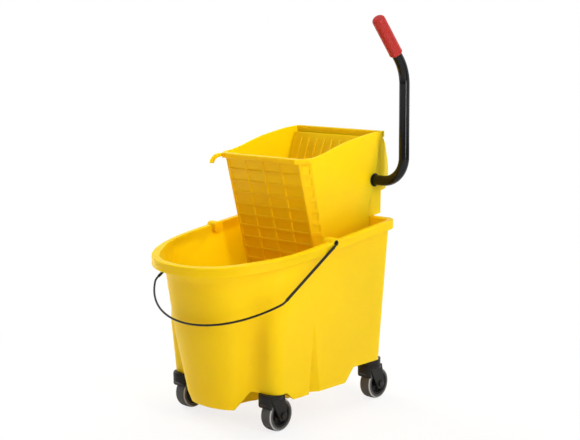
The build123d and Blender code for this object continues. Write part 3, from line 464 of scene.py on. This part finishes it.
class Workshop:
    """Materials of the object, and the ways that its nodes and pieces are dressed."""

    def __init__(self) -> None:
        """Builds the materials of every slot."""
        group = surface_group()
        self.materials = {slot: make_material(finish, group) for slot, finish in FINISHES.items()}
        self.slots = {part["node"]: Slot(part["material_slot"]) for part in frame["record"]["subparts"]}

    def dress_node(self, name: str, bevel: float = 0.6) -> None:
        """Gives a CAD node its slot's material and rounded edges.

        Args:
            name: The node.
            bevel: Width of the rounded edges, in millimetres.
        """
        node = frame["nodes"][name]
        node.data.materials.clear()
        node.data.materials.append(self.materials[self.slots[name]])
        weld = node.modifiers.new("Weld", "WELD")
        weld.merge_threshold = WELD_DISTANCE
        round_off = node.modifiers.new("RoundOff", "BEVEL")
        round_off.width = bevel * MM
        round_off.segments = 2
        round_off.limit_method = "ANGLE"
        round_off.angle_limit = math.radians(ROUNDED_ANGLE)
        smooth = node.modifiers.new("Smooth", "WEIGHTED_NORMAL")
        smooth.keep_sharp = False
        node.data.polygons.foreach_set("use_smooth", np.ones(len(node.data.polygons), bool))
        LOG.info("dressed %s", name)

    def finish_piece(self, piece: bpy.types.Object, body: str, slot: Slot, *nodes: str) -> None:
        """Gives a new piece its material and body, and lets it stand for its CAD nodes.

        Args:
            piece: The piece.
            body: Body that it rides on.
            slot: Slot of its finish.
            nodes: CAD nodes that it replaces.
        """
        piece.data.materials.append(self.materials[slot])
        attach(piece, body)
        if nodes:
            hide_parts(*nodes)
        LOG.info("made %s on %s, %d faces", piece.name, body, len(piece.data.polygons))


@dataclass
class Lever:
    """Bent lever tube with its grip, and the shaft's pieces inside the wringer."""

    far_x: float = -146.0
    lever_x: float = 223.0
    knee_z: float = 796.0
    knee_angle: float = 40.0
    handle_length: float = 147.0
    elbow_radius: float = 60.0
    knee_radius: float = 95.0
    tube_radius: float = 12.2
    tube_sides: int = 56
    bend_step: float = 2.5
    tube_short: float = 0.2
    grip_start: float = 51.0
    grip_end: float = 157.0
    grip_radius: float = 16.0
    grip_round: float = 9.0
    lip_width: float = 3.0
    lip_proud: float = 0.5
    lip_start: float = 1.2
    mouth_depth: float = 6.0
    mouth_bite: float = 0.4
    mouth_gap: float = 0.2
    mouth_round: float = 0.7
    mouth_proud: float = 0.02
    side_points: int = 60
    end_points: int = 14

    def handle(self) -> np.ndarray:
        """Finds the heading of the tube above its knee.

        Returns:
            The heading, one long.
        """
        angle = math.radians(self.knee_angle)
        return np.array((0.0, -math.sin(angle), math.cos(angle)))

    def tube(self) -> bpy.types.Object:
        """Builds the tube: a circle carried along the shaft, the elbow, the upright, the knee and the handle.

        Returns:
            The tube.
        """
        knee = np.array((self.lever_x, SHAFT_Y, self.knee_z))
        corners = np.array((
            (self.far_x, SHAFT_Y, SHAFT_Z),
            (self.lever_x, SHAFT_Y, SHAFT_Z),
            knee,
            knee + self.handle() * (self.handle_length - self.tube_short),
        ))
        path, headings = rounded_route(corners, (self.elbow_radius, self.knee_radius), self.bend_step)
        ends = closed_ends(path, headings, self.tube_radius)
        return piece_from_grid("LeverTube", carried(*ends, self.tube_sides, (-1.0, 1.0, -0.4)))

    def grip(self) -> bpy.types.Object:
        """Builds the grip: a sleeve with a rolled lip and a round end, turned about the handle.

        The profile is r = body + lip exp(-((s - lip middle) / lip width)^2) along the sleeve, then a quarter
        circle to the flat end.

        Returns:
            The grip.
        """
        body = self.grip_radius - self.lip_proud
        run = np.linspace(self.grip_start + self.lip_start, self.grip_end - self.grip_round, self.side_points)
        from_lip = (run - self.grip_start - self.lip_width) / self.lip_width
        lip = self.lip_proud * np.exp(-(from_lip ** 2))
        side = np.stack((run, body + lip), 1)
        angle = np.linspace(0.0, np.pi / 2, self.end_points)[1:]
        end = np.stack((
            self.grip_end - self.grip_round + self.grip_round * np.sin(angle),
            body - self.grip_round + self.grip_round * np.cos(angle),
        ), 1)
        mouth = np.array((
            (self.grip_start + self.mouth_depth, self.tube_radius - self.mouth_bite),
            (self.grip_start, self.tube_radius + self.mouth_gap),
            (self.grip_start, body - self.mouth_round),
            (self.grip_start + 0.5 * self.mouth_round, body + self.mouth_proud),
        ))
        middle = np.array(((self.grip_end, 0.0), (self.grip_start + self.mouth_depth, 0.0)))
        profile = np.concatenate((mouth, side, end, middle))
        knee = (self.lever_x, SHAFT_Y, self.knee_z)
        return piece_from_grid("LeverGrip", turned(profile, knee, self.handle(), self.tube_sides), closed=True)

    def build(self, shop: Workshop) -> None:
        """Makes the tube and the grip and dresses the shaft's nodes.

        Args:
            shop: Materials and ways of dressing.
        """
        shop.finish_piece(self.tube(), "lever", Slot.BLACK_PAINT, "lever_tube")
        shop.finish_piece(self.grip(), "lever", Slot.GRIP, "lever_grip")
        for node in ("crank_arm_left", "crank_arm_right", "crank_cross_pins", "roller_pins", "shaft_end_cap",
                     "spring_collar", "crank_roller_left", "crank_roller_right"):
            shop.dress_node(node)


@dataclass
class ReturnSpring:
    """Coil around the shaft, with a leg on the rear cover and a stub in the collar."""

    start_x: float = -44.0
    radius: float = 17.0
    wire: float = 1.5
    turns: int = 6
    pitch: float = 4.6
    leg: float = 46.0
    bend: float = 4.5
    stub: float = 8.0
    steps: int = 40
    bend_points: int = 10
    sides: int = 14

    def build(self, shop: Workshop) -> None:
        """Makes the wire: a leg, a helix whose angle grows along the shaft, a bend and a stub.

        Args:
            shop: Materials and ways of dressing.
        """
        angle = np.linspace(0.0, 2.0 * np.pi * self.turns, self.steps * self.turns + 1)
        coil = np.stack((
            self.start_x + self.pitch * angle / (2.0 * np.pi),
            SHAFT_Y - self.radius * np.sin(angle),
            SHAFT_Z - self.radius * np.cos(angle),
        ), 1)
        along = np.stack((
            np.full_like(angle, self.pitch / (2.0 * np.pi)),
            -self.radius * np.cos(angle),
            self.radius * np.sin(angle),
        ), 1)
        along /= np.linalg.norm(along, axis=1, keepdims=True)
        side = np.array(X_AXIS) - along[-1] * along[-1, 0]
        side /= np.linalg.norm(side)
        swing = np.linspace(0.0, np.pi / 2, self.bend_points)[1:, None]
        elbow = coil[-1] + self.bend * (along[-1] * np.sin(swing) + side * (1.0 - np.cos(swing)))
        elbow_along = along[-1] * np.cos(swing) + side * np.sin(swing)
        path = np.concatenate((coil[:1] - along[:1] * self.leg, coil, elbow, elbow[-1:] + side * self.stub))
        headings = np.concatenate((along[:1], along, elbow_along, side[None]))
        grid = carried(*closed_ends(path, headings, self.wire), self.sides, (1.0, 0.35, 0.2))
        shop.finish_piece(piece_from_grid("ReturnSpring", grid), "wringer", Slot.STEEL, "return_spring")


@dataclass
class Bail:
    """Wire bail with its two sleeves, hanging from the lugs on the rim."""

    hinge_y: float = 45.0
    hinge_z: float = 416.5
    droop: float = 31.3
    arm_x: float = 206.5
    arm: float = 194.9
    corner: float = 28.5
    turn: float = 35.2
    foot: float = 6.0
    tip_x: float = 190.5
    wire: float = 2.5
    sleeve: float = 3.5
    sleeve_start: float = 14.0
    sleeve_short: float = 2.0
    sleeve_waist: float = 0.25
    sleeve_ease: float = 0.25
    sleeve_points: int = 40
    sides: int = 20
    bush_bevel: float = 0.2

    def placed(self, flat: np.ndarray) -> np.ndarray:
        """Lays points or headings of the bail's plane out in space, without the hinge's place.

        Args:
            flat: Rows of distance across the bail and distance from its hinge.

        Returns:
            The rows in space.
        """
        angle = math.radians(self.droop)
        down = (0.0, -math.cos(angle), -math.sin(angle))
        return np.outer(flat[:, 0], X_AXIS) + np.outer(flat[:, 1], down)

    def wire_piece(self) -> bpy.types.Object:
        """Builds the wire: feet, arms, corners and the bow between them, with a circle carried along.

        Returns:
            The wire.
        """
        bend = math.radians(self.turn)
        bow = (self.arm_x - self.corner * (1.0 - math.cos(bend))) / math.cos(bend)
        bow_turn = 180.0 - 2.0 * self.turn
        elbow = (self.foot * math.pi / 2.0, 90.0)
        straight = (self.arm, 0.0)
        corner = (self.corner * bend, self.turn)
        foot = (self.arm_x - self.foot - self.tip_x, 0.0)
        middle = (bow * math.radians(bow_turn), bow_turn)
        moves = (foot, elbow, straight, corner, middle, corner, straight, elbow, foot)
        flat, headings = bent_line((self.tip_x, 0.0), 0.0, moves)
        path = self.placed(flat) + np.array((0.0, self.hinge_y, self.hinge_z))
        normal = self.placed(np.array(((1.0, 0.0), (0.0, 1.0))))
        lean = np.cross(normal[0], normal[1])
        ends = closed_ends(path, self.placed(headings), self.wire)
        return piece_from_grid("BailWire", carried(*ends, self.sides, lean))

    def sleeve_piece(self, side: Turn) -> bpy.types.Object:
        """Builds a sleeve: a tube along a straight arm, a little fuller at its ends.

        Args:
            side: Which arm.

        Returns:
            The sleeve.
        """
        ends = (self.sleeve_start, self.arm + self.foot - self.sleeve_short)
        share = np.linspace(0.0, 1.0, self.sleeve_points)
        along = ends[0] + (ends[1] - ends[0]) * share
        path = self.placed(np.stack((np.full_like(along, side.value * self.arm_x), along), 1))
        path += np.array((0.0, self.hinge_y, self.hinge_z))
        headings = self.placed(np.tile((0.0, 1.0), (len(along), 1)))
        whole, directions, radii = closed_ends(path, headings, self.sleeve)
        radii[1:-1] -= self.sleeve_waist * np.sin(np.pi * share) ** self.sleeve_ease
        name = f"BailSleeve{side.name.title()}"
        return piece_from_grid(name, carried(whole, directions, radii, self.sides, X_AXIS))

    def build(self, shop: Workshop) -> None:
        """Makes the wire and its sleeves, and dresses the bushes.

        Args:
            shop: Materials and ways of dressing.
        """
        shop.finish_piece(self.wire_piece(), "bail", Slot.BLACK_PAINT, "bail_wire")
        for side in Turn:
            node = f"bail_sleeve_{side.name.lower()}"
            shop.finish_piece(self.sleeve_piece(side), "bail", Slot.BLACK_PLASTIC, node)
            shop.dress_node(f"bail_bush_{side.name.lower()}", self.bush_bevel)


@dataclass
class Caster:
    """One swivel caster: a stem, a hooded fork, an axle, a hub and a tyre."""

    place: str
    swivel: tuple[float, float]
    trail: float = 18.0
    radius: float = 38.0
    width: float = 30.0
    hub_radius: float = 28.5
    squareness: float = 4.5
    # Radius and width of the painted highlight band on the tyre's shoulders
    highlight_radius: float = 35.6
    highlight_width: float = 1.6
    shoulder: float = 0.40
    shoulder_fade: float = 2.0
    tread_points: int = 49
    steps: int = 72

    def tyre(self) -> bpy.types.Object:
        """Builds the tyre: half a superellipse turned about the axle.

        Across the tread the profile is s = half width sgn(cos t) |cos t|^(2/p), r = hub + rise (sin t)^(2/p).
        The pale ring is a painted highlight on the shoulders: a bell over the distance of r from its radius.

        Returns:
            The tyre, with the share of painted highlight at each point as its attribute named ring.
        """
        angle = np.linspace(0.0, np.pi, self.tread_points)
        power = 2.0 / self.squareness
        across = 0.5 * self.width * np.sign(np.cos(angle)) * np.abs(np.cos(angle)) ** power
        rise = self.hub_radius + (self.radius - self.hub_radius) * np.sin(angle) ** power
        profile = np.stack((across, rise), 1)
        origin = np.array((self.swivel[0], self.swivel[1] + self.trail, self.radius))
        name = "Tyre" + "".join(word.title() for word in self.place.split("_"))
        piece = piece_from_grid(name, turned(profile, origin, X_AXIS, self.steps), closed=True)
        points = np.empty(3 * len(piece.data.vertices))
        piece.data.vertices.foreach_get("co", points)
        away = points.reshape(-1, 3) - in_frame(origin)
        reach = np.hypot(away[:, 1], away[:, 2]) / MM
        edge = np.abs(away[:, 0]) / MM
        # Share of painted highlight at each point: a band round the shoulders
        highlight_bell = np.exp(-(((reach - self.highlight_radius) / self.highlight_width) ** 2))
        highlight_mask = highlight_bell * np.clip((edge - self.shoulder * self.width) / self.shoulder_fade, 0.0, 1.0)
        piece.data.attributes.new("ring", "FLOAT", "POINT").data.foreach_set("value", highlight_mask)
        return piece

    def build(self, shop: Workshop) -> None:
        """Makes the tyre and dresses the other pieces.

        Args:
            shop: Materials and ways of dressing.
        """
        shop.finish_piece(self.tyre(), f"wheel_{self.place}", Slot.RUBBER, f"wheel_tyre_{self.place}")
        for part in ("caster_stem", "caster_fork", "caster_axle", "wheel_hub"):
            shop.dress_node(f"{part}_{self.place}")


@dataclass
class Wringer:
    """Basket, rear cover and press plate, with the rod that the plate swings on."""

    nodes: tuple[str, ...] = ("wringer_basket", "wringer_rear_cover", "rear_cover_screws", "press_plate",
                              "plate_hinge_rod", "rod_end_caps", "shaft_bush_left", "shaft_bush_right")

    def build(self, shop: Workshop) -> None:
        """Dresses the wringer's nodes.

        Args:
            shop: Materials and ways of dressing.
        """
        for node in self.nodes:
            shop.dress_node(node)


@dataclass
class Tub:
    """Moulded tub with its rim, lugs and wheel wells."""

    def build(self, shop: Workshop) -> None:
        """Dresses the tub.

        Args:
            shop: Materials and ways of dressing.
        """
        shop.dress_node("bucket_tub")


@dataclass
class Camera:
    """The photograph's camera.

    Attributes:
        place: Where it stands, from the tub's middle on the floor, in metres.
        azimuth: Degrees round from the nose towards the lever's side.
        elevation: Degrees that it looks down.
        roll: Degrees that it is turned about its axis.
        focal: Focal length in pixels.
        centre: Principal point in pixels from the image's top left.
        sensor: Width of the sensor, in millimetres.
        reach: Distance that it sees to, in metres.
    """

    place: tuple[float, float, float] = (2.11764, -2.18752, 0.9315)
    azimuth: float = 42.52
    elevation: float = 8.94
    roll: float = -0.35
    focal: float = 1328.6
    centre: tuple[float, float] = (292.84, 220.28)
    sensor: float = 36.0
    reach: float = 60.0

    def build(self) -> None:
        """Makes the camera and sets it as the scene's."""
        data = bpy.data.cameras.new("Camera")
        data.sensor_width = self.sensor
        data.lens = self.focal / IMAGE_WIDTH * self.sensor
        data.shift_x = -(self.centre[0] - IMAGE_WIDTH / 2) / IMAGE_WIDTH
        data.shift_y = (self.centre[1] - IMAGE_HEIGHT / 2) / IMAGE_WIDTH
        data.clip_end = self.reach
        camera = bpy.data.objects.new("Camera", data)
        bpy.context.scene.collection.objects.link(camera)
        a, e, r = (math.radians(v) for v in (self.azimuth, self.elevation, self.roll))
        back = Vector((math.sin(a) * math.cos(e), -math.cos(a) * math.cos(e), math.sin(e)))
        right = Vector((math.cos(a), math.sin(a), 0.0))
        up = back.cross(right)
        turned_right = right * math.cos(r) + up * math.sin(r)
        turned_up = up * math.cos(r) - right * math.sin(r)
        turn = Matrix((turned_right, turned_up, back)).transposed()
        stand = Vector(self.place) + Vector((TUB_X, TUB_Y, 0))
        camera.matrix_world = Matrix.Translation(stand) @ turn.to_4x4()
        bpy.context.scene.camera = camera


@dataclass(frozen=True)
class Lamp:
    """One soft lamp.

    Attributes:
        name: Its name.
        place: Where it hangs, in metres.
        target: Point that it faces.
        size: Width and height of its face, in metres.
        power: Watts.
        mirrored: Whether glossy surfaces show it.
    """

    name: str
    place: tuple[float, float, float]
    target: tuple[float, float, float]
    size: tuple[float, float]
    power: float
    mirrored: bool = False


LAMPS: tuple[Lamp, ...] = (
    Lamp("Key", (2.88, -0.58, 1.68), (0.0, 0.0, 1.0), (0.35, 3.05), 62.0, mirrored=True),
    Lamp("Fill", (1.55, -1.90, 2.55), (0.0, 0.0, 0.35), (1.6, 1.6), 18.0),
    Lamp("Far", (-3.05, 0.0, 1.60), (0.0, 0.0, 0.35), (2.0, 2.0), 92.0),
    Lamp("Rear", (0.2, 3.1, 1.7), (0.0, 0.0, 0.35), (2.0, 2.0), 48.0),
    Lamp("Top", (0.1, 0.0, 3.4), (0.0, 0.0, 0.3), (2.2, 2.2), 32.0),
)


@dataclass
class Studio:
    """Pale floor, white surround and soft lamps.

    Attributes:
        floor_half: Half of the floor's width, in metres.
        floor_tone: Grey of the floor.
        shadow_near: Distance at which the floor starts to go over to white, in metres.
        shadow_far: Distance at which it is white.
        shadow_veil: Share of white over the floor close to the object.
        world_strength: Light of the surround.
    """

    floor_half: float = 6.0
    floor_tone: float = 0.92
    shadow_near: float = 0.45
    shadow_far: float = 1.1
    shadow_veil: float = 0.80
    world_strength: float = 0.17

    def build(self) -> None:
        """Makes the floor, the world and the lamps."""
        self._floor()
        self._world()
        for lamp in LAMPS:
            self._hang(lamp)

    def _floor(self) -> None:
        """Pale floor: near the object it takes its shadow, and further out it goes over to plain white."""
        mesh = bpy.data.meshes.new("Floor")
        h = self.floor_half
        mesh.from_pydata([(-h, -h, 0), (h, -h, 0), (h, h, 0), (-h, h, 0)], [], [(0, 1, 2, 3)])
        floor = bpy.data.objects.new("Floor", mesh)
        bpy.context.scene.collection.objects.link(floor)
        material = bpy.data.materials.new("PaleFloor")
        material.use_nodes = True
        tree = material.node_tree
        tree.nodes.clear()
        out = tree.nodes.new("ShaderNodeOutputMaterial")
        diffuse = tree.nodes.new("ShaderNodeBsdfDiffuse")
        diffuse.inputs["Color"].default_value = (self.floor_tone, self.floor_tone, self.floor_tone, 1)
        glow = tree.nodes.new("ShaderNodeEmission")
        glow.inputs["Strength"].default_value = 1.0
        path = tree.nodes.new("ShaderNodeLightPath")
        place = tree.nodes.new("ShaderNodeTexCoord")
        reach = tree.nodes.new("ShaderNodeVectorMath")
        reach.operation = "LENGTH"
        tree.links.new(place.outputs["Object"], reach.inputs[0])
        fade = tree.nodes.new("ShaderNodeMapRange")
        fade.interpolation_type = "SMOOTHSTEP"
        fade.inputs["From Min"].default_value = self.shadow_near
        fade.inputs["From Max"].default_value = self.shadow_far
        fade.inputs["To Min"].default_value = self.shadow_veil
        fade.inputs["To Max"].default_value = 1.0
        tree.links.new(reach.outputs["Value"], fade.inputs["Value"])
        share = tree.nodes.new("ShaderNodeMath")
        share.operation = "MULTIPLY"
        tree.links.new(path.outputs["Is Camera Ray"], share.inputs[0])
        tree.links.new(fade.outputs["Result"], share.inputs[1])
        mix = tree.nodes.new("ShaderNodeMixShader")
        tree.links.new(share.outputs[0], mix.inputs["Fac"])
        tree.links.new(diffuse.outputs[0], mix.inputs[1])
        tree.links.new(glow.outputs[0], mix.inputs[2])
        tree.links.new(mix.outputs[0], out.inputs["Surface"])
        mesh.materials.append(material)

    def _world(self) -> None:
        """White surround that camera, mirror and glass rays see at full strength."""
        world = bpy.data.worlds.new("Surround")
        bpy.context.scene.world = world
        world.use_nodes = True
        tree = world.node_tree
        tree.nodes.clear()
        out = tree.nodes.new("ShaderNodeOutputWorld")
        soft = tree.nodes.new("ShaderNodeBackground")
        soft.inputs["Strength"].default_value = self.world_strength
        white = tree.nodes.new("ShaderNodeBackground")
        for shade in (soft, white):
            shade.inputs["Color"].default_value = (1, 1, 1, 1)
        path = tree.nodes.new("ShaderNodeLightPath")
        seen = tree.nodes.new("ShaderNodeMath")
        seen.operation = "MAXIMUM"
        tree.links.new(path.outputs["Is Camera Ray"], seen.inputs[0])
        tree.links.new(path.outputs["Is Glossy Ray"], seen.inputs[1])
        clear = tree.nodes.new("ShaderNodeMath")
        clear.operation = "MAXIMUM"
        tree.links.new(seen.outputs[0], clear.inputs[0])
        tree.links.new(path.outputs["Is Transmission Ray"], clear.inputs[1])
        mix = tree.nodes.new("ShaderNodeMixShader")
        tree.links.new(clear.outputs[0], mix.inputs["Fac"])
        tree.links.new(soft.outputs[0], mix.inputs[1])
        tree.links.new(white.outputs[0], mix.inputs[2])
        tree.links.new(mix.outputs[0], out.inputs["Surface"])

    def _hang(self, lamp: Lamp) -> None:
        """Makes one soft lamp.

        Args:
            lamp: What it is like.
        """
        data = bpy.data.lights.new(lamp.name, "AREA")
        data.shape = "RECTANGLE"
        data.size, data.size_y = lamp.size
        data.energy = lamp.power
        hung = bpy.data.objects.new(lamp.name, data)
        hung.visible_glossy = lamp.mirrored
        bpy.context.scene.collection.objects.link(hung)
        place = Vector(lamp.place)
        aim = (Vector(lamp.target) - place).to_track_quat("-Z", "Y")
        hung.matrix_world = Matrix.Translation(place) @ aim.to_matrix().to_4x4()


CASTER_PLACES: dict[str, tuple[float, float]] = {
    "front_right": (SWIVEL_X, FRONT_SWIVEL_Y),
    "front_left": (-SWIVEL_X, FRONT_SWIVEL_Y),
    "rear_right": (SWIVEL_X, REAR_SWIVEL_Y),
    "rear_left": (-SWIVEL_X, REAR_SWIVEL_Y),
}


def main() -> None:
    """Builds the camera, the studio and the sub-assemblies in order."""
    logging.basicConfig(level=logging.INFO, format="%(message)s")
    bpy.context.scene.view_settings.view_transform = "Standard"
    Camera().build()
    Studio().build()
    shop = Workshop()
    Tub().build(shop)
    for place, swivel in CASTER_PLACES.items():
        Caster(place, swivel).build(shop)
    Bail().build(shop)
    Wringer().build(shop)
    Lever().build(shop)
    ReturnSpring().build(shop)


if __name__ == "__main__":
    main()
